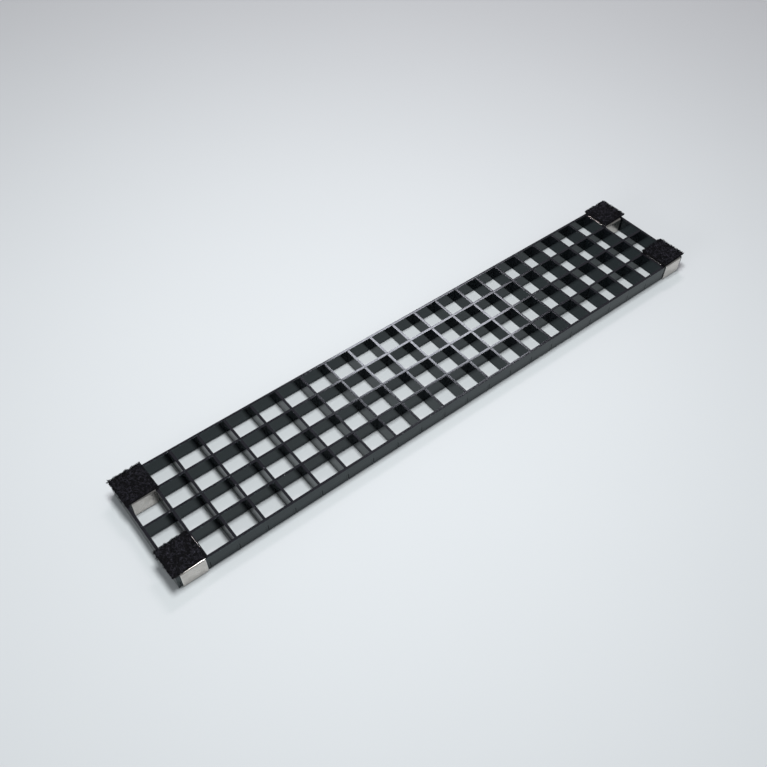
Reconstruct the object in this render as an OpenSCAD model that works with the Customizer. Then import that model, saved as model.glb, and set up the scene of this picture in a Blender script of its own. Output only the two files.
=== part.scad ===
// Clip-on light louvre: a long strip of square cells for a strip lamp.
// Long blades run along X and cross blades along Y. They interlock in half-lap slots.
// A sheet-metal clip snaps over the corner cell at each corner and carries a loop-faced pad.
// Millimetres, +Z up. The origin is under the middle of the strip, on the surface it lies on.

/* [Grid] */
// Distance from one blade's centre to the next, the same along X and Y
pitch = 27; // [20:0.5:45]
// Number of cells along the strip
cols = 22; // [4:1:28]
// Number of cells across the strip
rows = 4; // [4:1:8]
// Thickness of every blade
blade_t = 2.5; // [1.2:0.1:3.5]
// Height of the long blades
blade_h = 16; // [8:0.5:40]
// How far the cross blades stand out below the long ones
cross_drop = 0.3; // [0:0.1:0.6]
// Clearance on each side of a half-lap slot
slot_fit = 0.05; // [0.02:0.01:0.2]

/* [Clips] */
// Thickness of the clip's sheet metal
sheet_t = 1; // [0.8:0.1:1.5]
// Play of the folded channel along X, at each side of its cell
channel_play = 0.95; // [0.3:0.05:4]
// How far the top plate's ears lap over the cross blades
ear_lap = 1.15; // [0.4:0.05:2]
// How far the ears' ends stop short of the long blades
ear_inset = 1.75; // [0.5:0.05:5]
// Length of the lips that are folded under the blades
lip_w = 1.8; // [0.8:0.1:2.4]
// Outside radius of the folds
fold_r = 1; // [0.4:0.1:1.5]
// Clearance between a flange and the blade that it grips
clip_fit = 0.05; // [0.02:0.01:0.2]

/* [Pads] */
// Width of the loop tape, along X
tape_w = 30; // [16:0.5:50]
// Thickness of the loop tape, with its pile
tape_t = 2.1; // [1.2:0.1:3]
// Thickness of the adhesive film under the tape
film_t = 0.3; // [0.1:0.05:0.5]
// How far the film stops short of the tape's edges
film_inset = 0.4; // [0.1:0.1:2]
// Radius of the tape's cut corners
tape_r = 0.8; // [0.2:0.1:2]

/* [Hidden] */
$fn = 32;
cut = 1;
grid_l = cols * pitch + blade_t;
grid_w = rows * pitch + blade_t;
grid_z = sheet_t;
lap_z = grid_z + blade_h / 2;
plate_z = grid_z + blade_h;
film_z = plate_z + sheet_t;
tape_z = film_z + film_t;
slot_w = blade_t + 2 * slot_fit;
cell_w = pitch - blade_t;
channel_l = cell_w - 2 * channel_play;
plate_l = cell_w + 2 * ear_lap;
ear_w = cell_w - 2 * ear_inset;
grip_w = pitch + blade_t + 2 * clip_fit;

// The corners, with the side of the strip that each is on along X and Y
CORNERS = ["near_left", "near_right", "far_right", "far_left"];
CORNER_SIDE = [[-1, -1], [1, -1], [1, 1], [-1, 1]];
// Where each clip has settled along X, as a share of its play
CLIP_SETTLE = [0.3, 0.3, -0.95, 0.95];
// Each tape is cut and stuck down by hand: its cut length along Y, its offset in X and Y,
// and its turn in degrees
TAPE_CUT = [29.5, 30, 29.5, 31];
TAPE_OFFSET = [[-1.8, 0], [2, 0.4], [2.2, 0.7], [0, -0.3]];
TAPE_TURN = [2, 2, 1, 2];

// A number with two digits, for a node's name
function two_digits(n) = str(n < 10 ? "0" : "", n);
// Centre line of cross blade i along X, and of long blade k along Y, both counted from 1
function cross_x(i) = (i - 1 - cols / 2) * pitch;
function long_y(k) = (k - 1 - rows / 2) * pitch;
// Centre of the corner cell
function cell_centre(c) =
    [CORNER_SIDE[c][0] * (cols - 1) / 2 * pitch, CORNER_SIDE[c][1] * (rows - 1) / 2 * pitch, 0];

// A blade along X, slotted from below where the cross blades pass
module long_blade(k) {
    color("#2b2f33")
    translate([0, long_y(k), 0])
    difference() {
        translate([-grid_l / 2, -blade_t / 2, grid_z])
            cube([grid_l, blade_t, blade_h]);
        for (i = [1:cols + 1])
            translate([cross_x(i) - slot_w / 2, -blade_t / 2 - cut, grid_z - cut])
                cube([slot_w, blade_t + 2 * cut, lap_z - grid_z + cut]);
    }
}

// A blade along Y, slotted from above where the long blades pass
module cross_blade(i) {
    color("#24282b")
    translate([cross_x(i), 0, 0])
    difference() {
        translate([-blade_t / 2, -grid_w / 2, grid_z - cross_drop])
            cube([blade_t, grid_w, blade_h + cross_drop]);
        for (k = [1:rows + 1])
            translate([-blade_t / 2 - cut, long_y(k) - slot_w / 2, lap_z])
                cube([blade_t + 2 * cut, slot_w, plate_z - lap_z + cut]);
    }
}

// A rectangle with its foot on the X axis and all four corners rounded
module rounded_outline(w, h, r) {
    translate([-w / 2, r])
        square([w, h - 2 * r]);
    translate([r - w / 2, 0])
        square([w - 2 * r, h]);
    for (x = [r - w / 2, w / 2 - r], y = [r, h - r])
        translate([x, y])
            circle(r);
}

// Cross-section of the clip's channel: a plate, two flanges and two lips under the blades
module channel_outline() {
    difference() {
        rounded_outline(grip_w + 2 * sheet_t, plate_z + sheet_t, fold_r);
        translate([-grip_w / 2, grid_z])
            square([grip_w, blade_h]);
        translate([lip_w - grip_w / 2, -cut])
            square([grip_w - 2 * lip_w, grid_z + 2 * cut]);
    }
}

// A spring clip over the outermost two long blades, with ears on the cross blades' tops
module clip(c) {
    color("silver")
    translate(cell_centre(c) + [CLIP_SETTLE[c] * channel_play, 0, 0]) {
        translate([-channel_l / 2, 0, 0])
            rotate([90, 0, 90])
                linear_extrude(channel_l)
                    channel_outline();
        translate([-plate_l / 2, -ear_w / 2, plate_z])
            cube([plate_l, ear_w, sheet_t]);
    }
}

// A flat piece with rounded corners, in the place of one corner's tape
module tape_layer(c, inset, z, t) {
    w = tape_w - 2 * inset;
    l = TAPE_CUT[c] - 2 * inset;
    translate(cell_centre(c) + [TAPE_OFFSET[c][0], TAPE_OFFSET[c][1], z])
        rotate(TAPE_TURN[c])
            translate([0, -l / 2, 0])
                linear_extrude(t)
                    rounded_outline(w, l, tape_r);
}

// The self-adhesive film between a clip and its tape
module adhesive_film(c) {
    color("dimgray")
        tape_layer(c, film_inset, film_z, film_t);
}

// A square of loop tape, which hooks on the lamp hold
module loop_pad(c) {
    color("#16161c")
        tape_layer(c, 0, tape_z, tape_t);
}

for (k = [1:rows + 1])
    long_blade(k);
for (i = [1:cols + 1])
    cross_blade(i);
for (c = [0:len(CORNERS) - 1]) {
    clip(c);
    adhesive_film(c);
    loop_pad(c);
}
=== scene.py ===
import math
import random

import bmesh
import bpy
from mathutils import Matrix, Vector
from mathutils import noise as fractal


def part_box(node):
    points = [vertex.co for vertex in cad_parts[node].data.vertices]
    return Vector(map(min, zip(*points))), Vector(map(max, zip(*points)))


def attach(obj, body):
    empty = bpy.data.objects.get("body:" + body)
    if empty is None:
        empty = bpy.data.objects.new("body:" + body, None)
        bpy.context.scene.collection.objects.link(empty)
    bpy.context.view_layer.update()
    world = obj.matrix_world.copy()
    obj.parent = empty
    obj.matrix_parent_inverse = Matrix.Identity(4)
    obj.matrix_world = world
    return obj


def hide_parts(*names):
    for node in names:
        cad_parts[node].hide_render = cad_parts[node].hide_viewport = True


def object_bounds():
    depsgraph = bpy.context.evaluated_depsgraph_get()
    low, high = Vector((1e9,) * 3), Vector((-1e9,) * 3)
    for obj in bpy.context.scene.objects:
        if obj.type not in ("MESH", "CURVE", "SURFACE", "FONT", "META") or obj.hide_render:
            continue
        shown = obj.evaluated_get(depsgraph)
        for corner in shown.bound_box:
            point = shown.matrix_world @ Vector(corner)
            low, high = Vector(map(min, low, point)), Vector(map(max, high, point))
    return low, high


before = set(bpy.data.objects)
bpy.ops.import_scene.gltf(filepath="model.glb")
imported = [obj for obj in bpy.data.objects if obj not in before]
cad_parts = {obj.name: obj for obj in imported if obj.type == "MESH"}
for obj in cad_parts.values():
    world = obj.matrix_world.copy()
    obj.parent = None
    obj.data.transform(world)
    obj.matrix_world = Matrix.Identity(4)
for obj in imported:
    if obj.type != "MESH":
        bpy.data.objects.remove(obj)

bl_info = {
    "name": "Egg-Crate Louver",
    "version": (1, 0, 0),
    "blender": (4, 5, 0),
    "location": "View3D > Sidebar > Louver",
    "description": "Builds a clip-on louver: interlocking blades, spring clips and loop pads",
    "category": "Object",
}

BODY = "root"
MM = 0.001
CAD_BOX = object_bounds()
LONG_BLADES = sorted(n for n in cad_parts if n.startswith("long_blade_"))
CROSS_BLADES = sorted(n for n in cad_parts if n.startswith("cross_blade_"))
CORNERS = sorted(n[len("clip_"):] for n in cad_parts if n.startswith("clip_"))


class Box:
    """The bounds of a CAD node."""

    def __init__(self, node):
        self.low, self.high = (Vector(corner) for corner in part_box(node))
        self.middle = (self.low + self.high) / 2
        self.size = self.high - self.low


# ---------------------------------------------------------------------------------------------
# Sizes and colours
# ---------------------------------------------------------------------------------------------


def length(name, description, millimetres):
    return bpy.props.FloatProperty(
        name=name, description=description, default=millimetres * MM, unit="LENGTH", precision=5)


def share(name, description, value):
    return bpy.props.FloatProperty(
        name=name, description=description, default=value, min=0, max=1, subtype="FACTOR")


def tint(name, description, value):
    return bpy.props.FloatVectorProperty(
        name=name, description=description, default=value, min=0, max=1, size=3, subtype="COLOR")


def point(name, description, value):
    return bpy.props.FloatVectorProperty(
        name=name, description=description, default=value, subtype="TRANSLATION", unit="LENGTH")


def tilt(name, description, degrees):
    return bpy.props.FloatProperty(
        name=name, description=description, default=math.radians(degrees), subtype="ANGLE")


def amount(name, description, value):
    return bpy.props.FloatProperty(name=name, description=description, default=value)


def whole(name, description, value):
    return bpy.props.IntProperty(name=name, description=description, default=value, min=0)


class LouverBlades(bpy.types.PropertyGroup):
    edge_r: length("Edge radius", "Radius of the moulded edges", 0.08)
    lead_in: length("Lead-in", "Chamfer at the mouth of each half-lap slot", 0.18)
    slot_fit: length("Slot clearance", "Clearance on each side of a slot", 0.05)
    colour: tint("Plastic colour", "Colour of the black styrene", (0.0018, 0.0042, 0.0050))
    # Paler purple painted on the upward top faces as painted light, and on rubbed edges as wear
    painted_top_light_and_wear_colour: tint("Edge colour", "Colour of the duller top edges", (0.0140, 0.0122, 0.0162))
    wall_gloss: share("Wall roughness", "Roughness of the polished walls", 0.06)
    top_gloss: share("Edge roughness", "Roughness of the narrow top edges", 0.09)


class LouverClips(bpy.types.PropertyGroup):
    bend_r: length("Bend radius", "Inner radius of the folds in the sheet", 0.35)
    fillet: length("Relief radius", "Radius where an ear meets the channel", 0.9)
    burr: length("Cut edge", "Rounding of the sheared edges", 0.14)
    colour: tint("Steel colour", "Colour of the bright sheet steel", (0.61, 0.575, 0.54))
    gloss: share("Steel roughness", "Roughness of the rolled surface", 0.23)


class LouverPads(bpy.types.PropertyGroup):
    backing_t: length("Backing thickness", "Thickness of the knitted backing", 0.6)
    spill: length("Spill", "How far the pile spills over the cut edges of the tape", 0.35)
    felt_t: length("Felt thickness", "Thickness of the matted pile under the loops", 0.75)
    cell: length("Mesh size", "Size of the faces of the matted pile", 0.42)
    strand_r: length("Strand radius", "Radius of one strand of the pile", 0.055)
    loops: whole("Loops", "Number of loops on one pad", 5200)
    fringe: whole("Fringe strands", "Number of loose strands along the frayed cuts of a pad", 820)
    strays: whole("Stray strands", "Number of stray curls lying on one pad", 170)
    colour: tint("Pile colour", "Colour of the nylon loops", (0.0012, 0.0013, 0.0020))
    # Paler colour painted on the upper loops and on stray curls: painted highlight
    painted_highlight_colour: tint("Tip colour", "Colour of the loops' brushed tips", (0.060, 0.059, 0.076))
    film_colour: tint("Film colour", "Colour of the adhesive film", (0.020, 0.020, 0.021))
    seed: whole("Seed", "Seed of the scattered loops", 11)


class LouverStage(bpy.types.PropertyGroup):
    camera_at: point("Camera place", "Where the camera stands", (-0.36607, -0.39751, 0.61664))
    camera_to: point(
        "Camera aim", "The point on the table that the camera faces", (-0.04384, 0.01142, 0.0))
    camera_roll: tilt("Camera roll", "Tilt of the camera about its own axis", 0.156)
    lens: amount("Lens", "Focal length in millimetres on a 36 mm wide sensor", 40.48)
    table: tint("Table colour", "Colour of the pale table top", (0.72, 0.755, 0.765))
    sky: tint("Room colour", "Colour of the light from the white room", (0.93, 0.965, 1.0))
    sky_power: amount("Room light", "Strength of the light from the room", 0.25)
    window_at: point("Window place", "Centre of the soft window light", (1.58, 1.75, 2.5))
    window_width: length("Window width", "Width of the window light", 950)
    window_height: length("Window height", "Height of the window light", 370)
    window_turn: tilt("Window turn", "Turn of the window light about the vertical", -22)
    window_power: amount("Window power", "Power of the window light in watts", 24)
    window_colour: tint("Window colour", "Colour of the window light", (1.0, 0.83, 0.89))
    softbox_at: point("Softbox place", "Centre of the softbox overhead", (-0.055, 0.02, 1.05))
    softbox_width: length("Softbox width", "Width of the softbox overhead", 260)
    softbox_length: length("Softbox length", "Length of the softbox overhead", 400)
    softbox_power: amount("Softbox power", "Power of the softbox overhead in watts", 8.7)
    wall_at: point("Wall place", "Middle of the white wall beyond the left end", (-3.0, -0.4, 0.8))
    wall_width: length("Wall width", "Width of the lit part of the wall", 1600)
    wall_height: length("Wall height", "Height of the lit part of the wall", 800)
    wall_power: amount("Wall power", "Power of the light from the wall in watts", 18)
    lamp_colour: tint("Lamp colour", "Colour of the softbox and the wall", (0.97, 0.985, 1.0))


def sizes(group):
    return getattr(bpy.context.scene, group)


# ---------------------------------------------------------------------------------------------
# Material nodes
# ---------------------------------------------------------------------------------------------

SPECK_CORE, SPECK_RIM = 0.10, 0.16  # radii of a speck and of its soft rim, in its cell's width
MIX_FACTOR, MIX_FIRST, MIX_SECOND, MIX_RESULT = 0, 6, 7, 2  # the colour sockets of a Mix node


class Nodes:
    """A material under construction: add() makes a node, then sets and links its sockets."""

    def __init__(self, name):
        self.material = bpy.data.materials.new(name)
        self.material.use_nodes = True
        self.tree = self.material.node_tree
        self.tree.nodes.clear()
        self.shader = self.add("ShaderNodeBsdfPrincipled")
        out = self.add("ShaderNodeOutputMaterial")
        self.tree.links.new(self.shader.outputs[0], out.inputs["Surface"])

    def add(self, kind, sockets=None, **settings):
        node = self.tree.nodes.new(kind)
        for key, value in settings.items():
            setattr(node, key, value)
        for key, value in (sockets or {}).items():
            self.put(node.inputs[key], value)
        return node

    def put(self, socket, value):
        if isinstance(value, bpy.types.NodeSocket):
            self.tree.links.new(value, socket)
        elif socket.type == "RGBA" and len(value) == 3:
            socket.default_value = (*value, 1)
        else:
            socket.default_value = value

    def set(self, **sockets):
        for key, value in sockets.items():
            self.put(self.shader.inputs[key.replace("_", " ")], value)

    def place(self, stretch=(1, 1, 1)):
        """Object coordinates in millimetres, stretched."""
        where = self.add("ShaderNodeTexCoord").outputs["Object"]
        scale = tuple(s / MM for s in stretch)
        return self.add("ShaderNodeMapping", {"Vector": where, "Scale": scale}).outputs[0]

    def noise(self, size, detail=2.0, roughness=0.5, stretch=(1, 1, 1)):
        """Smooth noise with features of about that many millimetres."""
        return self.add("ShaderNodeTexNoise", {
            "Vector": self.place(stretch), "Scale": 1 / size, "Detail": detail,
            "Roughness": roughness}).outputs["Fac"]

    def specks(self, size, chance):
        """Round specks: 1 at the middle of a few scattered cells, and 0 elsewhere."""
        cells = self.add("ShaderNodeTexVoronoi", {"Vector": self.place(), "Scale": 1 / size})
        dot = self.ramp(cells.outputs["Distance"], (SPECK_CORE, 1), (SPECK_RIM, 0))
        picked = self.add(
            "ShaderNodeSeparateColor", {"Color": cells.outputs["Color"]}).outputs["Red"]
        return self.math("MULTIPLY", dot, self.math("LESS_THAN", picked, chance))

    def math(self, operation, first, second=0.0, clamp=False):
        return self.add("ShaderNodeMath", {0: first, 1: second},
                        operation=operation, use_clamp=clamp).outputs[0]

    def ramp(self, value, low, high):
        """Maps value from low[0]..high[0] to low[1]..high[1], clamped and smooth."""
        return self.add("ShaderNodeMapRange", {
            "Value": value, "From Min": low[0], "From Max": high[0],
            "To Min": low[1], "To Max": high[1]}, interpolation_type="SMOOTHSTEP").outputs[0]

    def mix(self, factor, first, second):
        node = self.add("ShaderNodeMix", data_type="RGBA")
        for index, value in ((MIX_FACTOR, factor), (MIX_FIRST, first), (MIX_SECOND, second)):
            self.put(node.inputs[index], value)
        return node.outputs[MIX_RESULT]

    def bump(self, height, depth, strength=1.0, normal=None):
        """Bump whose height of 1 stands that many millimetres proud."""
        sockets = {"Height": height, "Distance": depth * MM, "Strength": strength}
        if normal is not None:
            sockets["Normal"] = normal
        return self.add("ShaderNodeBump", sockets).outputs[0]

    def attribute(self, name):
        return self.add("ShaderNodeAttribute", attribute_name=name).outputs["Fac"]


# ---------------------------------------------------------------------------------------------
# Materials
# ---------------------------------------------------------------------------------------------

TOP_SLOPE = (0.55, 0.95)  # the rise of a normal where a top edge's painted light and rougher finish start and are full
SINK_REACH = (0.012, 0.075)  # a sink mark's floor and rim, as shares of the pitch
SEAM_REACH = (0.004, 0.012)  # the same of the finer line in its middle
MOTTLE = (0.0065, 0.0110, 0.0125)
DUST = (0.30, 0.30, 0.31)
STYRENE_IOR = 1.39
STYRENE_TINT = (0.72, 0.96, 1.0, 1.0)
BARE_STEEL = (0.80, 0.78, 0.76)
SHEEN_TINT = (0.55, 0.55, 0.80)


def scaled(colour, gain):
    return tuple(min(1, gain * c) for c in colour)


def from_crossing(n, along, start, pitch):
    """Distance along an axis from the nearest crossing, as a share of the pitch."""
    spot = n.add("ShaderNodeSeparateXYZ", {
        "Vector": n.add("ShaderNodeTexCoord").outputs["Object"]})
    steps = n.math("DIVIDE", n.math("SUBTRACT", spot.outputs[along], start), pitch)
    part = n.math("FRACT", n.math("ADD", steps, 0.5))
    return n.math("ABSOLUTE", n.math("SUBTRACT", part, 0.5))


def styrene(name, along, start, pitch):
    """Glossy black moulded styrene, sunk a little where the blades cross, once each pitch."""
    look = sizes("louver_blades")
    n = Nodes(name)
    lie = n.add("ShaderNodeNewGeometry").outputs["Normal"]
    rise = n.math("ABSOLUTE", n.add("ShaderNodeSeparateXYZ", {"Vector": lie}).outputs["Z"])
    upward = n.ramp(rise, (TOP_SLOPE[0], 0), (TOP_SLOPE[1], 1))
    wear = n.ramp(n.noise(2.4, 4), (0.38, 0.25), (0.66, 1))
    rubbed = n.math("MULTIPLY", n.attribute("rubbed"), wear)
    dirt = n.noise(9.0, 5, 0.6)
    mottle = n.ramp(n.noise(1.1, 3, 0.7), (0.36, 0), (0.66, 1))
    dust = n.math("MULTIPLY", n.specks(3.1, 0.10), n.ramp(upward, (0, 0.35), (1, 1)))

    colour = n.mix(n.ramp(dirt, (0.42, 0), (0.72, 0.12)), look.colour, look.painted_top_light_and_wear_colour)
    colour = n.mix(n.math("MULTIPLY", mottle, 0.30), colour, MOTTLE)
    # Painted light: upward top faces take the paler colour in full; rubbed edges take it at half
    # strength as wear
    dull = n.math("MAXIMUM", upward, n.math("MULTIPLY", rubbed, 0.5))
    colour = n.mix(dull, colour, look.painted_top_light_and_wear_colour)
    colour = n.mix(n.math("MULTIPLY", dust, 0.55), colour, DUST)

    matt = n.ramp(upward, (0, look.wall_gloss), (1, look.top_gloss))
    smear = n.ramp(dirt, (0.35, 0), (0.75, 1))
    for layer, gain in ((smear, 0.03), (mottle, 0.03), (rubbed, 0.03), (dust, 0.4)):
        matt = n.math("ADD", matt, n.math("MULTIPLY", layer, gain), clamp=True)

    off_line = from_crossing(n, along, start, pitch)
    sink = n.ramp(off_line, (SINK_REACH[0], 0), (SINK_REACH[1], 1))
    seam = n.ramp(off_line, (SEAM_REACH[0], 0), (SEAM_REACH[1], 1))
    flow = n.noise(5.0, 2, 0.5, stretch=(0.35, 0.35, 1.0))
    grain = n.noise(0.55, 3, 0.6)
    scratch = n.ramp(n.noise(0.22, 2, 0.5, stretch=(0.03, 0.03, 1.0)), (0.62, 0), (0.72, 1))
    side = n.ramp(upward, (0, 1), (1, 0.12))
    relief = None
    for height, depth in (
            (flow, 0.014), (n.math("ADD", sink, seam), 0.022), (grain, 0.0015), (scratch, 0.003)):
        relief = n.bump(n.math("MULTIPLY", height, side), depth, normal=relief)
    n.set(Base_Color=colour, Roughness=matt, Normal=relief, IOR=STYRENE_IOR,
          Specular_Tint=STYRENE_TINT)
    return n.material


def sheet_steel():
    """Bright rolled sheet steel with a fine grain along the strip and cleaner sheared edges."""
    look = sizes("louver_clips")
    n = Nodes("bright_sheet_steel")
    grain = n.noise(0.16, 3, 0.6, stretch=(0.04, 1, 1))
    cloud = n.noise(6.0, 4, 0.6)
    marks = n.ramp(n.noise(1.3, 3, 0.5, stretch=(1, 0.15, 0.15)), (0.60, 0), (0.74, 1))
    edge = n.attribute("sheared")

    dull = scaled(look.colour, 0.80)
    colour = n.mix(n.ramp(cloud, (0.36, 0), (0.70, 0.6)), look.colour, dull)
    colour = n.mix(n.math("MULTIPLY", marks, 0.35), colour, dull)
    colour = n.mix(n.math("MULTIPLY", edge, 0.7), colour, BARE_STEEL)

    haze = n.ramp(cloud, (0.3, 0), (0.75, 1))
    matt = n.math("ADD", look.gloss, n.math("MULTIPLY", haze, 0.10))
    matt = n.math("SUBTRACT", matt, n.math("MULTIPLY", edge, 0.08))
    matt = n.math("ADD", matt, n.math("MULTIPLY", grain, 0.06), clamp=True)
    relief = n.bump(cloud, 0.05, normal=n.bump(grain, 0.006))
    n.set(Base_Color=colour, Roughness=matt, Normal=relief, Metallic=1.0)
    return n.material


def nylon_pile():
    """Brushed nylon loops: near-black, a little blue, painted paler towards the loop tops in
    patches as painted highlight, with the deeper pile left dark as painted shade.
    """
    look = sizes("louver_pads")
    n = Nodes("brushed_nylon_loops")
    height = n.attribute("pile_height")
    # Painted highlight: the upper loops take the paler colour in patches; the deeper pile keeps
    # the dark colour as painted shade
    tips = n.ramp(height, (0.5, 0), (0.95, 1))
    patches = n.ramp(n.noise(0.9, 5, 0.8), (0.40, 0.0), (0.66, 1))
    colour = n.mix(n.math("MULTIPLY", tips, patches), look.colour, look.painted_highlight_colour)
    # Stray curls are painted paler still: painted highlight
    strays = n.ramp(height, (1.05, 0), (1.2, 1))
    colour = n.mix(strays, colour, scaled(look.painted_highlight_colour, 1.5))
    matt = n.ramp(n.noise(0.8, 3), (0.3, 0.50), (0.7, 0.75))
    fuzz = n.noise(0.22, 4, 0.7)
    n.set(Base_Color=colour, Roughness=matt, Normal=n.bump(fuzz, 0.10),
          Sheen_Weight=0.01, Sheen_Roughness=0.45, Sheen_Tint=SHEEN_TINT,
          Specular_IOR_Level=0.12)
    return n.material


def yarns(n, direction, scale, distortion):
    """Slightly wandering yarns that follow each other along X or Y."""
    return n.add("ShaderNodeTexWave", {
        "Vector": n.place(), "Scale": scale, "Distortion": distortion, "Detail": 2.0,
        "Detail Scale": distortion}, wave_type="BANDS", bands_direction=direction).outputs["Fac"]


def knitted_backing():
    """The knitted ground of the tape: fine ribs along it and a raised weft across them."""
    look = sizes("louver_pads")
    n = Nodes("knitted_backing")
    knit = n.math("MULTIPLY", yarns(n, "X", 1.1, 1.5), yarns(n, "Y", 0.8, 2.0))
    n.set(Base_Color=n.mix(knit, look.colour, scaled(look.colour, 2.2)),
          Roughness=n.ramp(knit, (0, 0.85), (1, 0.62)), Normal=n.bump(knit, 0.12),
          Sheen_Weight=0.1)
    return n.material


def acrylic_film():
    """The pressure-sensitive film under the tape: dark, a little tacky, with trapped air."""
    look = sizes("louver_pads")
    n = Nodes("acrylic_film")
    cloud = n.noise(3.0, 4, 0.55)
    air = n.specks(1.4, 0.22)
    pale = scaled(look.film_colour, 2.6)
    colour = n.mix(n.ramp(cloud, (0.35, 0), (0.7, 0.7)), look.film_colour, pale)
    n.set(Base_Color=n.mix(n.math("MULTIPLY", air, 0.4), colour, pale),
          Roughness=n.ramp(cloud, (0.3, 0.34), (0.7, 0.52)), Normal=n.bump(air, 0.02))
    return n.material


def table_top():
    """A plain pale table top with a barely visible sheen and mottle."""
    look = sizes("louver_stage")
    n = Nodes("pale_table")
    cloud = n.noise(160.0, 3, 0.5)
    n.set(Base_Color=n.mix(cloud, look.table, scaled(look.table, 0.985)), Roughness=0.62,
          Specular_IOR_Level=0.25)
    return n.material


# ---------------------------------------------------------------------------------------------
# Mesh helpers
# ---------------------------------------------------------------------------------------------

FLAT_WEIGHT = 90  # how strongly large faces keep their own normal in the shading


def material_once(maker, name, *values):
    return bpy.data.materials.get(name) or maker(*values)


def piece_from(bm, name, material, node, flags=()):
    """Turns a bmesh into a finished piece that stands for a CAD node.

    flags are pairs of an attribute's name and a function that gives its values for the mesh.
    """
    bmesh.ops.recalc_face_normals(bm, faces=bm.faces)
    mesh = bpy.data.meshes.new(name)
    bm.to_mesh(mesh)
    bm.free()
    for attribute, values in flags:
        layer = mesh.attributes.new(attribute, "FLOAT", "POINT")
        layer.data.foreach_set("value", values(mesh))
    mesh.shade_smooth()
    mesh.materials.append(material)
    piece = bpy.data.objects.new(name, mesh)
    bpy.context.scene.collection.objects.link(piece)
    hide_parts(node)
    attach(piece, BODY)
    return piece


def weighted(piece):
    """Keeps flat faces flat and blends the shading across the small rounded edges only."""
    modifier = piece.modifiers.new("edge_shading", "WEIGHTED_NORMAL")
    modifier.mode = "FACE_AREA"
    modifier.weight = FLAT_WEIGHT
    return piece


def flagged(mesh, test):
    """1 for each vertex of a face that passes the test, and 0 for the others."""
    flags = [0.0] * len(mesh.vertices)
    for face in mesh.polygons:
        if test(face):
            for index in face.vertices:
                flags[index] = 1.0
    return flags


# ---------------------------------------------------------------------------------------------
# Blades
# ---------------------------------------------------------------------------------------------

TONGUE_TAPER = 0.45 * MM
SHARP = math.radians(20)  # a blade's edge is rounded where its faces turn by more than this
RUBBED_WIDTH = 1.6  # the widest face of a rounded edge, in edge radii
TOUCH = 1e-6  # metres within which two spots are the same


def slotted_outline(ends, heights, slots, mouth, roof, half, lead):
    """The outline of a blade in (along, up), walked so that the slots open at height mouth.

    The slots run from the mouth to the roof. A slot at an end of the blade is an open rebate.
    """
    low, high = ends
    back = heights[0] if mouth == heights[1] else heights[1]
    inward = math.copysign(lead, roof - mouth)
    points = []
    for centre in slots:
        left, right = centre - half, centre + half
        if left > low:
            points += [(left - lead, mouth), (left, mouth + inward), (left, roof)]
        else:
            points += [(low, roof)]
        if right < high:
            points += [(right, roof), (right, mouth + inward), (right + lead, mouth)]
        else:
            points += [(high, roof)]
    return points + [(high, back), (low, back)]


def drawn_out(outline, along, start, thickness):
    """A closed solid: the outline in (along, up), drawn out across the blade from start."""
    across = 1 - along
    bm = bmesh.new()
    front = []
    for s, z in outline:
        spot = Vector((0, 0, z))
        spot[along], spot[across] = s, start
        front.append(bm.verts.new(spot))
    made = bmesh.ops.extrude_face_region(bm, geom=[bm.faces.new(front)])["geom"]
    step = Vector((0, 0, 0))
    step[across] = thickness
    bmesh.ops.translate(bm, vec=step, verts=[v for v in made if isinstance(v, bmesh.types.BMVert)])
    return bm


def taper_tongues(bm, along, ends, wall):
    """Tapers the end tongues on one side, which leaves a thin seam in the outer blade's face."""
    across = 1 - along
    for end in ends:
        start, outward = Vector((0, 0, 0)), Vector((0, 0, 0))
        start[along] = end - math.copysign(TONGUE_TAPER, end)
        outward[along] = 1
        parts = list(bm.verts) + list(bm.edges) + list(bm.faces)
        bmesh.ops.bisect_plane(bm, geom=parts, plane_co=start, plane_no=outward)
        for vert in bm.verts:
            if abs(vert.co[along] - end) < TOUCH and abs(vert.co[across] - wall) < TOUCH:
                vert.co[across] -= TONGUE_TAPER


def blade(node, others, along, mouth_up, name):
    """One moulded blade, cut half-way through for each blade that crosses it."""
    look = sizes("louver_blades")
    box, across = Box(node), 1 - along
    thickness = box.size[across]
    ends, heights = ((box.low[axis], box.high[axis]) for axis in (along, 2))
    centres = [Box(other).middle[along] for other in others]
    foot, top = (corner[2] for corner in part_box(LONG_BLADES[0]))
    outline = slotted_outline(
        ends, heights, centres, heights[1] if mouth_up else heights[0], (foot + top) / 2,
        thickness / 2 + look.slot_fit, look.lead_in)
    bm = drawn_out(outline, along, box.low[across], thickness)
    if mouth_up:
        taper_tongues(bm, along, ends, box.high[across])
    sharp = [e for e in bm.edges if e.calc_face_angle(0) > SHARP]
    bmesh.ops.bevel(bm, geom=sharp, offset=look.edge_r, segments=2, profile=0.5,
                    affect="EDGES", clamp_overlap=True)
    material = material_once(styrene, name, name, along, centres[0], centres[1] - centres[0])
    small = RUBBED_WIDTH * look.edge_r * thickness

    def rubbed(mesh):
        return flagged(mesh, lambda face: face.area < small)

    return weighted(piece_from(
        bm, f"{node}_moulding", material, node, [("rubbed", rubbed)]))


class LOUVER_OT_long_blades(bpy.types.Operator):
    """Mould the blades that run along the strip, slotted from below"""

    bl_idname = "louver.long_blades"
    bl_label = "Long Blades"

    def execute(self, context):
        for node in LONG_BLADES:
            blade(node, CROSS_BLADES, 0, False, "black_styrene_long")
        return {"FINISHED"}


class LOUVER_OT_cross_blades(bpy.types.Operator):
    """Mould the blades that run across the strip, slotted from above"""

    bl_idname = "louver.cross_blades"
    bl_label = "Cross Blades"

    def execute(self, context):
        for node in CROSS_BLADES:
            blade(node, LONG_BLADES, 1, True, "black_styrene_cross")
        return {"FINISHED"}


# ---------------------------------------------------------------------------------------------
# Clips
# ---------------------------------------------------------------------------------------------

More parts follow.
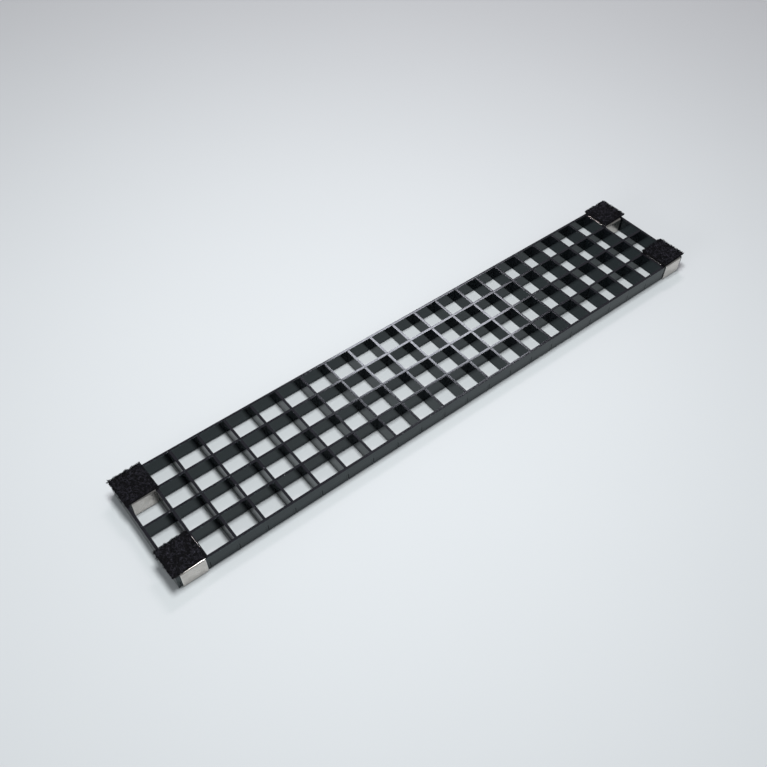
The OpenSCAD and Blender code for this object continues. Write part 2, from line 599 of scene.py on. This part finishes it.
CHANNEL_SHARE = 22.6 / 26.8  # the folded channel's width as a share of the width over the ears
EAR_SHARE = 21.0 / 31.6  # the ears' length as a share of the plate's
SHEET_T = 1.0 * MM
LIP_W = 1.8 * MM
FOLD_STEPS = 6
PLATE_STEPS, PLATE_ROWS = 12, 8  # the plate's half in steps, and how many of them are rows
RELIEF_STEPS = (0, 0.15, 0.35, 0.6, 1.0)  # rows along the curve where an ear meets the channel
EAR_MARGIN = 0.2 * MM
COLUMNS = (-1, -0.93, -0.5, 0, 0.5, 0.93, 1)  # where the sheet is divided along X
END_FACE = 0.7  # a face that looks along X by more than this is a sheared edge
SHEARED_ANGLE = math.radians(50)


def arc(centre, radius, start, end, steps):
    """Points of an arc in its plane, from one angle to another in degrees."""
    turn = [math.radians(start + (end - start) * k / steps) for k in range(steps + 1)]
    return [(centre[0] + radius * math.cos(a), centre[1] + radius * math.sin(a)) for a in turn]


def channel_path(half, top, r):
    """The middle of the sheet in (y, z), from one lip up over the plate to the other lip."""
    foot, plate_z = SHEET_T / 2, top - SHEET_T / 2
    side = [(half - LIP_W, foot)]
    side += arc((half - r, foot + r), r, -90, 0, FOLD_STEPS)
    side += arc((half - r, plate_z - r), r, 0, 90, FOLD_STEPS)
    side += [(half * k / PLATE_STEPS, plate_z) for k in range(PLATE_ROWS, 0, -1)]
    return side + [(0, plate_z)] + [(-y, z) for y, z in reversed(side)]


def normals_of(path):
    """The sheet's outward normal at each point of the path."""
    out = []
    for k in range(len(path)):
        a, b = Vector(path[max(k - 1, 0)]), Vector(path[min(k + 1, len(path) - 1)])
        d = (b - a).normalized()
        out.append(Vector((d.y, -d.x)))
    return out


def ear_reach(y, ear_half, narrow, wide, fillet):
    """Half the plate's width at a distance y from its middle: wide over the ears, then narrow."""
    t = min(1, max(0, (ear_half - abs(y)) / fillet))
    return narrow + (wide - narrow) * math.sin(t * math.pi / 2)


def clip_rows(half, top, ear_half, look):
    """Rows across the folded sheet, as (y, z, normal), with more of them where an ear ends."""
    plate_z = top - SHEET_T / 2
    path = channel_path(half, top, look.bend_r + SHEET_T / 2)
    rows = [(y, z, normal) for (y, z), normal in zip(path, normals_of(path))]
    folded = [row for row in rows if row[1] <= plate_z - TOUCH]
    flat = {round(y, 7) for y, z, _ in rows if z > plate_z - TOUCH}
    relief = [ear_half - look.fillet * part for part in RELIEF_STEPS] + [ear_half + EAR_MARGIN]
    flat |= {round(sign * y, 7) for y in relief for sign in (-1, 1)}
    plate = [(y, plate_z, Vector((0, 1))) for y in sorted(flat, reverse=True)]
    return [row for row in folded if row[0] > 0] + plate + [row for row in folded if row[0] < 0]


def clip_mesh(node):
    """A clip folded from one sheet: the plate with its ears, two flanges and two lips."""
    look = sizes("louver_clips")
    box = Box(node)
    wide = box.size.x / 2
    narrow = wide * CHANNEL_SHARE
    half, top, ear_half = box.size.y / 2 - SHEET_T / 2, box.size.z, box.size.y / 2 * EAR_SHARE
    rows = clip_rows(half, top, ear_half, look)
    on_plate = top - SHEET_T / 2 - TOUCH

    bm = bmesh.new()
    layers = []
    for lift in (SHEET_T / 2, -SHEET_T / 2):
        layer = []
        for y, z, normal in rows:
            reach = ear_reach(y, ear_half, narrow, wide, look.fillet) if z > on_plate else narrow
            layer.append([bm.verts.new((
                box.middle.x + reach * column, box.middle.y + y + normal.x * lift,
                box.low.z + z + normal.y * lift)) for column in COLUMNS])
        layers.append(layer)
    for layer in layers:
        for a, b in zip(layer, layer[1:]):
            for k in range(len(COLUMNS) - 1):
                bm.faces.new((a[k], a[k + 1], b[k + 1], b[k]))
    outer, inner = layers
    for k in range(len(COLUMNS) - 1):
        for row in (0, -1):
            bm.faces.new((outer[row][k], outer[row][k + 1], inner[row][k + 1], inner[row][k]))
    for row in range(len(rows) - 1):
        for k in (0, -1):
            bm.faces.new((outer[row][k], outer[row + 1][k], inner[row + 1][k], inner[row][k]))
    return bm


def sheared(mesh):
    """1 on the vertices of the sheet's sheared ends, which look along X, and 0 elsewhere."""
    return flagged(mesh, lambda face: abs(face.normal.x) > END_FACE)


def clip(corner):
    look = sizes("louver_clips")
    node = f"clip_{corner}"
    material = material_once(sheet_steel, "bright_sheet_steel")
    piece = piece_from(clip_mesh(node), f"{node}_folded_sheet", material, node,
                       [("sheared", sheared)])
    bevel = piece.modifiers.new("sheared_edges", "BEVEL")
    bevel.width, bevel.segments = look.burr, 2
    bevel.limit_method, bevel.angle_limit = "ANGLE", SHEARED_ANGLE
    return weighted(piece)


class LOUVER_OT_clips(bpy.types.Operator):
    """Fold the spring clips that grip the corner cells"""

    bl_idname = "louver.clips"
    bl_label = "Corner Clips"

    def execute(self, context):
        for corner in CORNERS:
            clip(corner)
        return {"FINISHED"}


# ---------------------------------------------------------------------------------------------
# Pads
# ---------------------------------------------------------------------------------------------

TURN = {"near_left": 2.0, "near_right": 2.0, "far_right": 1.0, "far_left": 2.0}  # degrees
TAPE_W = 30.0 * MM
TAPE_CORNER = 0.8 * MM
TAPE_EDGE, TAPE_WANDER, TAPE_SEED = 0.12 * MM, 0.16 * MM, 1.3
FILM_INSET = 0.4 * MM
FILM_CORNER = 0.5 * MM
FILM_EDGE, FILM_WANDER, FILM_SEED = 0.06 * MM, 0.12 * MM, 3.7
WANDER_SIZE = 2.3 * MM
RIM_STEP = 0.9 * MM
CLEAN_SPILL = 0.1 * MM  # how far the pile stands out past a clean cut

# The felt: the shares are of its thickness, and a lump's fineness is in lumps per millimetre.
FELT_SINK = 0.7  # the felt starts at this share of the backing's thickness
FELT_SKIRT = 0.15 * MM
FELT_SHOULDER = 0.9 * MM  # how far from the rim the felt is at its full height
FELT_WANDER = 0.9 * MM
FELT_CALM = 0.7  # how much of the rim's wander is gone past the shoulder
FELT_BODY, FELT_RELIEF = 0.86, 0.62
COARSE_LUMP, COARSE_FINENESS = 0.5, 0.55
FINE_LUMP, FINE_FINENESS = 0.7, 1.25

STRAND_ANGLES = (0.0, 2.094, 4.189)
STRAND_SIDE = Vector((0.31, 0.17, 0.93))  # a direction that no strand runs in
STRAND_TIP = 0.75  # a strand's radius at its ends, as a share

# The loops: the shares are of the room between their feet and the pad's face.
LOOP_ROOT = 0.25  # the feet stand at this share of the felt's thickness
LOOP_MARGIN = 0.3 * MM
LOOP_FOOT = 0.35 * MM  # how far a loop's feet stay inside a clean cut
LOOP_ROUND = 0.75  # less than 1 gives a loop a broader top than an arch
LOOP_RISE, LOOP_CLUMP, LOOP_SCATTER = 0.62, 0.52, (-0.25, 0.12)
LOOP_LEAN, LOOP_SPAN = (0.1, 0.9), (0.3, 1.2)  # millimetres
CLEAN_LEAN = 1.1 * MM  # loops this near a clean cut lean away from it
CLUMP, COMB = 0.8 * MM, 4.0 * MM  # how wide the tufts are, and the patches brushed one way
COMB_TURN, COMB_SCATTER = 5, 0.8  # radians

FRINGE_SHARES = (6, 2)  # how frayed the far and the outer cut edges are
FRINGE_ROOT = 0.5 * MM
FRINGE_STEPS = (0, 0.3, 0.6, 0.85, 1.0)
FRINGE_THICK = 1.5  # in radii of a loop's strand
FRINGE_SWAY, FRINGE_REACH, TUFT_REACH = 0.7, 0.7, (0.3, 2.4)  # millimetres
FRINGE_RISE, FRINGE_ARCH = (-0.05, 0.75), 2.2
TUFTS, TUFT_MEAN, TUFT_RANGE = 9, 0.5, 0.9

STRAY = 1.3  # the pile height that marks a stray strand, which is painted paler as a painted highlight
STRAY_THICK = 1.3  # in radii of a loop's strand
STRAY_SPREAD = 0.47  # half the share of a pad that the strays lie on
STRAY_DEPTH = (0.15, 0.5)  # millimetres under the pad's face
STRAY_STEPS, STRAY_STEP, STRAY_RISE = 8, 0.45 * MM, 0.35 * MM
STRAY_BEND, BEND_SCATTER = 1.1, (0.3, 1.0)


class Cut:
    """The place, turn and size of one hand-cut square of tape."""

    def __init__(self, corner, inset=0.0):
        box = Box(f"loop_pad_{corner}")
        self.turn = math.radians(TURN[corner])
        self.w = TAPE_W - 2 * inset
        cut = (box.size.y - TAPE_W * math.sin(self.turn)) / math.cos(self.turn)
        self.l = cut - 2 * inset
        middle = Matrix.Translation((box.middle.x, box.middle.y, 0))
        self.place = middle @ Matrix.Rotation(self.turn, 4, "Z")
        self.low, self.high = box.low.z, box.high.z
        self.inward = 1 if corner.endswith("left") else -1

    def clean(self, x, y, margin=0.0):
        """Holds a spot inside the two clean cuts: the inward one and the near one."""
        x = self.inward * min(self.inward * x, self.w / 2 + CLEAN_SPILL - margin)
        return x, max(y, CLEAN_SPILL + margin - self.l / 2)

    def at(self, x, y, z):
        return self.place @ Vector((x, y, z))

    def rim(self, corner_r, steps=5):
        """The cut outline with rounded corners, anticlockwise in the tape's own axes."""
        points = []
        for k, (sx, sy) in enumerate(((1, 1), (-1, 1), (-1, -1), (1, -1))):
            x, y = sx * (self.w / 2 - corner_r), sy * (self.l / 2 - corner_r)
            points += arc((x, y), corner_r, 90 * k, 90 * k + 90, steps)
        return points


def ragged(x, y, seed, size):
    """A small wander of a hand-cut edge."""
    return size * fractal.noise(Vector((x / WANDER_SIZE, y / WANDER_SIZE, seed)))


def capped_tube(bm, rings):
    """Faces that join the rings in order and close the first and the last."""
    for a, b in zip(rings, rings[1:]):
        for k in range(len(a)):
            j = (k + 1) % len(a)
            bm.faces.new((a[k], a[j], b[j], b[k]))
    bm.faces.new(list(reversed(rings[0])))
    bm.faces.new(rings[-1])


def flat_layer(cut, corner_r, z_low, z_high, edge_r, seed, wander):
    """A thin layer with a ragged cut rim and softened edges."""
    bm = bmesh.new()
    outline = []
    rim = cut.rim(corner_r)
    for (xa, ya), (xb, yb) in zip(rim, rim[1:] + rim[:1]):
        pieces = max(1, round(math.dist((xa, ya), (xb, yb)) / RIM_STEP))
        for k in range(pieces):
            outline.append((xa + (xb - xa) * k / pieces, ya + (yb - ya) * k / pieces))
    rings = []
    for z, shrink in (
            (z_low, edge_r), (z_low + edge_r, 0), (z_high - edge_r, 0), (z_high, edge_r)):
        ring = []
        for x, y in outline:
            pull = 1 - (shrink + ragged(x, y, seed, wander)) / (cut.w / 2)
            ring.append(bm.verts.new(cut.at(x * pull, y * pull, z)))
        rings.append(ring)
    capped_tube(bm, rings)
    return bm


def film(corner):
    node = f"adhesive_film_{corner}"
    box = Box(node)
    bm = flat_layer(Cut(corner, FILM_INSET), FILM_CORNER, box.low.z, box.high.z, FILM_EDGE,
                    FILM_SEED, FILM_WANDER)
    material = material_once(acrylic_film, "acrylic_film")
    return weighted(piece_from(bm, f"{node}_layer", material, node))


class LOUVER_OT_films(bpy.types.Operator):
    """Lay the adhesive films on the clips' plates"""

    bl_idname = "louver.films"
    bl_label = "Adhesive Films"

    def execute(self, context):
        for corner in CORNERS:
            film(corner)
        return {"FINISHED"}


def backing(corner, cut, loops):
    look = sizes("louver_pads")
    node = f"loop_pad_{corner}"
    bm = flat_layer(cut, TAPE_CORNER, cut.low, cut.low + look.backing_t, TAPE_EDGE, TAPE_SEED,
                    TAPE_WANDER)
    material = material_once(knitted_backing, "knitted_backing")
    piece = weighted(piece_from(bm, f"tape_backing_{corner}", material, node))
    return piece


def felt(bm, cut, look, seed):
    """The matted mass of the pile: a lumpy closed cushion that hides the backing."""
    nx, ny = round(cut.w / look.cell), round(cut.l / look.cell)
    base = cut.low + look.backing_t * FELT_SINK
    grid = []
    for j in range(ny + 1):
        row = []
        for i in range(nx + 1):
            u, v = 2 * i / nx - 1, 2 * j / ny - 1
            x, y = u * (cut.w / 2 + look.spill), v * (cut.l / 2 + look.spill)
            edge = min(1 - abs(u), 1 - abs(v)) * cut.w / 2
            shoulder = min(1, edge / FELT_SHOULDER) ** 0.5
            spot = Vector((x, y, 0)) / MM
            lump = COARSE_LUMP * fractal.noise(spot * COARSE_FINENESS + Vector((0, 0, seed)))
            lump += FINE_LUMP * fractal.noise(spot * FINE_FINENESS + Vector((seed, 0, 5)))
            z = base + look.felt_t * shoulder * (FELT_BODY + FELT_RELIEF * lump)
            x += ragged(x, y, seed + 7, FELT_WANDER) * (1 - shoulder * FELT_CALM)
            y += ragged(y, x, seed + 9, FELT_WANDER) * (1 - shoulder * FELT_CALM)
            row.append(bm.verts.new(cut.at(*cut.clean(x, y), z)))
        grid.append(row)
    for a, b in zip(grid, grid[1:]):
        for k in range(nx):
            bm.faces.new((a[k], a[k + 1], b[k + 1], b[k]))
    rim = ([grid[0][i] for i in range(nx)] + [grid[j][nx] for j in range(ny)]
           + [grid[ny][i] for i in range(nx, 0, -1)] + [grid[j][0] for j in range(ny, 0, -1)])
    bottom = [bm.verts.new((v.co.x, v.co.y, base - FELT_SKIRT)) for v in rim]
    for k in range(len(rim)):
        j = (k + 1) % len(rim)
        bm.faces.new((rim[j], rim[k], bottom[k], bottom[j]))
    bm.faces.new(bottom)


def strand(bm, points, radius):
    """A thin three-sided tube along points, closed at both ends."""
    rings = []
    last = len(points) - 1
    for k, spot in enumerate(points):
        ahead = (points[min(k + 1, last)] - points[max(k - 1, 0)]).normalized()
        side = ahead.cross(STRAND_SIDE).normalized()
        up = ahead.cross(side)
        r = radius * (STRAND_TIP if k in (0, last) else 1.0)
        rings.append([bm.verts.new(spot + r * (math.cos(a) * side + math.sin(a) * up))
                      for a in STRAND_ANGLES])
    capped_tube(bm, rings)


def loop_points(foot, direction, lean, span, height, steps=6):
    """The points of one loop of the pile, which stands on both feet and leans to one side."""
    points = []
    for k in range(steps + 1):
        t = k / steps
        rise = math.sin(math.pi * t) ** LOOP_ROUND
        lift = Vector((0, 0, height * rise))
        points.append(foot + direction * (t - 0.5) * span + lean * rise + lift)
    return points


def lay_loops(bm, cut, look, order, seed, foot_z):
    """The loops that hooks catch in, in tufts, brushed so that they lie all ways."""
    room = cut.high - foot_z
    for _ in range(look.loops):
        x = order.uniform(-0.5, 0.5) * (cut.w + LOOP_MARGIN)
        y = order.uniform(-0.5, 0.5) * (cut.l + LOOP_MARGIN)
        clump = fractal.noise(Vector((x, y, 0)) / CLUMP + Vector((0, 0, seed)))
        comb = fractal.noise(Vector((x, y, 0)) / COMB + Vector((seed, 0, 0)))
        angle = order.uniform(0, math.tau)
        drift = COMB_TURN * comb + order.uniform(-COMB_SCATTER, COMB_SCATTER)
        height = room * (LOOP_RISE + LOOP_CLUMP * clump + order.uniform(*LOOP_SCATTER))
        lean = Vector((math.cos(drift), math.sin(drift), 0)) * order.uniform(*LOOP_LEAN) * MM
        if cut.inward * x > cut.w / 2 - CLEAN_LEAN:
            lean.x = -cut.inward * abs(lean.x)
        if y < CLEAN_LEAN - cut.l / 2:
            lean.y = abs(lean.y)
        direction = Vector((math.cos(angle), math.sin(angle), 0))
        span = order.uniform(*LOOP_SPAN) * MM
        foot = cut.at(*cut.clean(x, y, LOOP_FOOT), foot_z)
        strand(bm, loop_points(foot, direction, lean, span, height), look.strand_r)


def lay_fringe(bm, cut, look, order, seed, foot_z):
    """Loose strands that stand out in tufts from the far and the outer cut."""
    room = cut.high - foot_z
    for _ in range(look.fringe):
        along = order.uniform(-0.5, 0.5)
        side = order.choices(((0, 1), (-cut.inward, 0)), FRINGE_SHARES)[0]
        x = side[0] * cut.w / 2 if side[0] else along * cut.w
        y = side[1] * cut.l / 2 if side[1] else along * cut.l
        foot = cut.at(x - side[0] * FRINGE_ROOT, y - side[1] * FRINGE_ROOT, foot_z)
        out = cut.place.to_3x3() @ Vector((side[0], side[1], 0))
        sway = Vector((-out.y, out.x, 0)) * order.uniform(-FRINGE_SWAY, FRINGE_SWAY) * MM
        where = Vector((along * TUFTS, 3 * side[0], 3 * side[1] + seed))
        tuft = TUFT_MEAN + TUFT_RANGE * fractal.noise(where)
        reach = (FRINGE_REACH + max(0, tuft) * order.uniform(*TUFT_REACH)) * MM
        rise = room * order.uniform(*FRINGE_RISE)
        points = []
        for t in FRINGE_STEPS:
            lift = Vector((0, 0, rise * math.sin(FRINGE_ARCH * t)))
            points.append(foot + out * reach * t + sway * t * t + lift)
        strand(bm, points, look.strand_r * FRINGE_THICK)


def lay_strays(bm, cut, look, order):
    """Stray curls that lie on top of the loops."""
    for _ in range(look.strays):
        spot = cut.at(order.uniform(-STRAY_SPREAD, STRAY_SPREAD) * cut.w,
                      order.uniform(-STRAY_SPREAD, STRAY_SPREAD) * cut.l,
                      cut.high - order.uniform(*STRAY_DEPTH) * MM)
        heading, bend = order.uniform(0, math.tau), order.uniform(-STRAY_BEND, STRAY_BEND)
        points = []
        for k in range(STRAY_STEPS):
            rise = STRAY_RISE * math.sin(math.pi * k / (STRAY_STEPS - 1))
            points.append(spot + Vector((0, 0, rise)))
            spot = spot + STRAY_STEP * Vector((math.cos(heading), math.sin(heading), 0))
            heading += bend * order.uniform(*BEND_SCATTER)
        strand(bm, points, look.strand_r * STRAY_THICK)


def pile(corner, cut):
    """The pile of one pad: felt, loops, the fringe of its frayed cuts and stray curls."""
    look = sizes("louver_pads")
    order = random.Random(look.seed + CORNERS.index(corner))
    seed = 10.0 + 3.0 * CORNERS.index(corner)
    foot_z = cut.low + look.backing_t + LOOP_ROOT * look.felt_t
    bm = bmesh.new()
    felt(bm, cut, look, seed)
    lay_loops(bm, cut, look, order, seed, foot_z)
    lay_fringe(bm, cut, look, order, seed, foot_z)
    settled = len(bm.verts)
    lay_strays(bm, cut, look, order)

    def pile_height(mesh):
        rise = [min(1, max(0, (v.co.z - cut.low) / (cut.high - cut.low))) for v in mesh.vertices]
        return rise[:settled] + [STRAY] * (len(rise) - settled)

    material = material_once(nylon_pile, "brushed_nylon_loops")
    return piece_from(bm, f"loop_pile_{corner}", material, f"loop_pad_{corner}",
                      [("pile_height", pile_height)])


class LOUVER_OT_pads(bpy.types.Operator):
    """Lay the squares of loop tape, with their pile, on the adhesive films"""

    bl_idname = "louver.pads"
    bl_label = "Loop Pads"

    def execute(self, context):
        for corner in CORNERS:
            cut = Cut(corner)
            backing(corner, cut, pile(corner, cut))
        return {"FINISHED"}


# ---------------------------------------------------------------------------------------------
# Camera, table and lights
# ---------------------------------------------------------------------------------------------

SENSOR = 36.0  # millimetres
NEAREST, FARTHEST = 0.01, 50.0  # metres that the camera sees
TABLE_HALF, TABLE_CELLS = 4.0, 8


def facing(place, target, roll=0.0):
    """A placing that looks from place to target, rolled about the line of sight."""
    turn = (Vector(target) - Vector(place)).to_track_quat("-Z", "Y").to_matrix().to_4x4()
    return Matrix.Translation(place) @ turn @ Matrix.Rotation(roll, 4, "Z")


class LOUVER_OT_camera(bpy.types.Operator):
    """Set up the camera above the near left corner"""

    bl_idname = "louver.camera"
    bl_label = "Camera"

    def execute(self, context):
        look = sizes("louver_stage")
        data = bpy.data.cameras.new("camera")
        data.sensor_width, data.lens = SENSOR, look.lens
        data.clip_start, data.clip_end = NEAREST, FARTHEST
        camera = bpy.data.objects.new("camera", data)
        camera.matrix_world = facing(look.camera_at, look.camera_to, look.camera_roll)
        context.scene.collection.objects.link(camera)
        context.scene.camera = camera
        return {"FINISHED"}


def lay_table():
    bm = bmesh.new()
    bmesh.ops.create_grid(bm, x_segments=TABLE_CELLS, y_segments=TABLE_CELLS, size=TABLE_HALF)
    mesh = bpy.data.meshes.new("table_top")
    bm.to_mesh(mesh)
    bm.free()
    mesh.materials.append(table_top())
    table = bpy.data.objects.new("table_top", mesh)
    table.location.z = CAD_BOX[0][2]
    bpy.context.scene.collection.objects.link(table)


def area_light(name, place, size, power, colour):
    """A rectangular light that shines along its own -Z axis."""
    data = bpy.data.lights.new(name, "AREA")
    data.shape, data.size, data.size_y = "RECTANGLE", *size
    data.energy, data.color = power, colour
    light = bpy.data.objects.new(name, data)
    light.matrix_world = place
    bpy.context.scene.collection.objects.link(light)


def white_room(look):
    """The world, which lights the table evenly from all round."""
    world = bpy.data.worlds.new("white_room")
    world.use_nodes = True
    background = world.node_tree.nodes["Background"]
    background.inputs["Color"].default_value = (*look.sky, 1)
    background.inputs["Strength"].default_value = look.sky_power
    return world


class LOUVER_OT_stage(bpy.types.Operator):
    """Lay the pale table and light it with a window, a softbox, a wall and a white room"""

    bl_idname = "louver.stage"
    bl_label = "Table and Lights"

    def execute(self, context):
        look = sizes("louver_stage")
        lay_table()
        window = Matrix.Translation(look.window_at) @ Matrix.Rotation(look.window_turn, 4, "Z")
        area_light("window", window, (look.window_width, look.window_height),
                   look.window_power, look.window_colour)
        area_light("softbox", Matrix.Translation(look.softbox_at),
                   (look.softbox_width, look.softbox_length), look.softbox_power, look.lamp_colour)
        area_light("wall", facing(look.wall_at, (CAD_BOX[0][0], 0, 0)),
                   (look.wall_width, look.wall_height), look.wall_power, look.lamp_colour)
        context.scene.world = white_room(look)
        context.scene.view_settings.view_transform = "Standard"
        return {"FINISHED"}


class LOUVER_PT_sidebar(bpy.types.Panel):
    """The steps that build the louver, in order"""

    bl_idname = "LOUVER_PT_sidebar"
    bl_label = "Egg-Crate Louver"
    bl_space_type = "VIEW_3D"
    bl_region_type = "UI"
    bl_category = "Louver"

    def draw(self, context):
        for step in STEPS:
            self.layout.operator(step.bl_idname)
        for group in GROUPS:
            settings = getattr(context.scene, group)
            for name in settings.bl_rna.properties.keys():
                if name not in ("rna_type", "name"):
                    self.layout.prop(settings, name)


GROUPS = {
    "louver_blades": LouverBlades,
    "louver_clips": LouverClips,
    "louver_pads": LouverPads,
    "louver_stage": LouverStage,
}
STEPS = (
    LOUVER_OT_camera,
    LOUVER_OT_long_blades,
    LOUVER_OT_cross_blades,
    LOUVER_OT_clips,
    LOUVER_OT_films,
    LOUVER_OT_pads,
    LOUVER_OT_stage,
)


def register():
    for kind in (*GROUPS.values(), *STEPS, LOUVER_PT_sidebar):
        bpy.utils.register_class(kind)
    for name, kind in GROUPS.items():
        setattr(bpy.types.Scene, name, bpy.props.PointerProperty(type=kind))


def unregister():
    for name in GROUPS:
        delattr(bpy.types.Scene, name)
    for kind in reversed((*GROUPS.values(), *STEPS, LOUVER_PT_sidebar)):
        bpy.utils.unregister_class(kind)


def main():
    register()
    for step in STEPS:
        area, name = step.bl_idname.split(".")
        getattr(getattr(bpy.ops, area), name)()


if __name__ == "__main__":
    main()
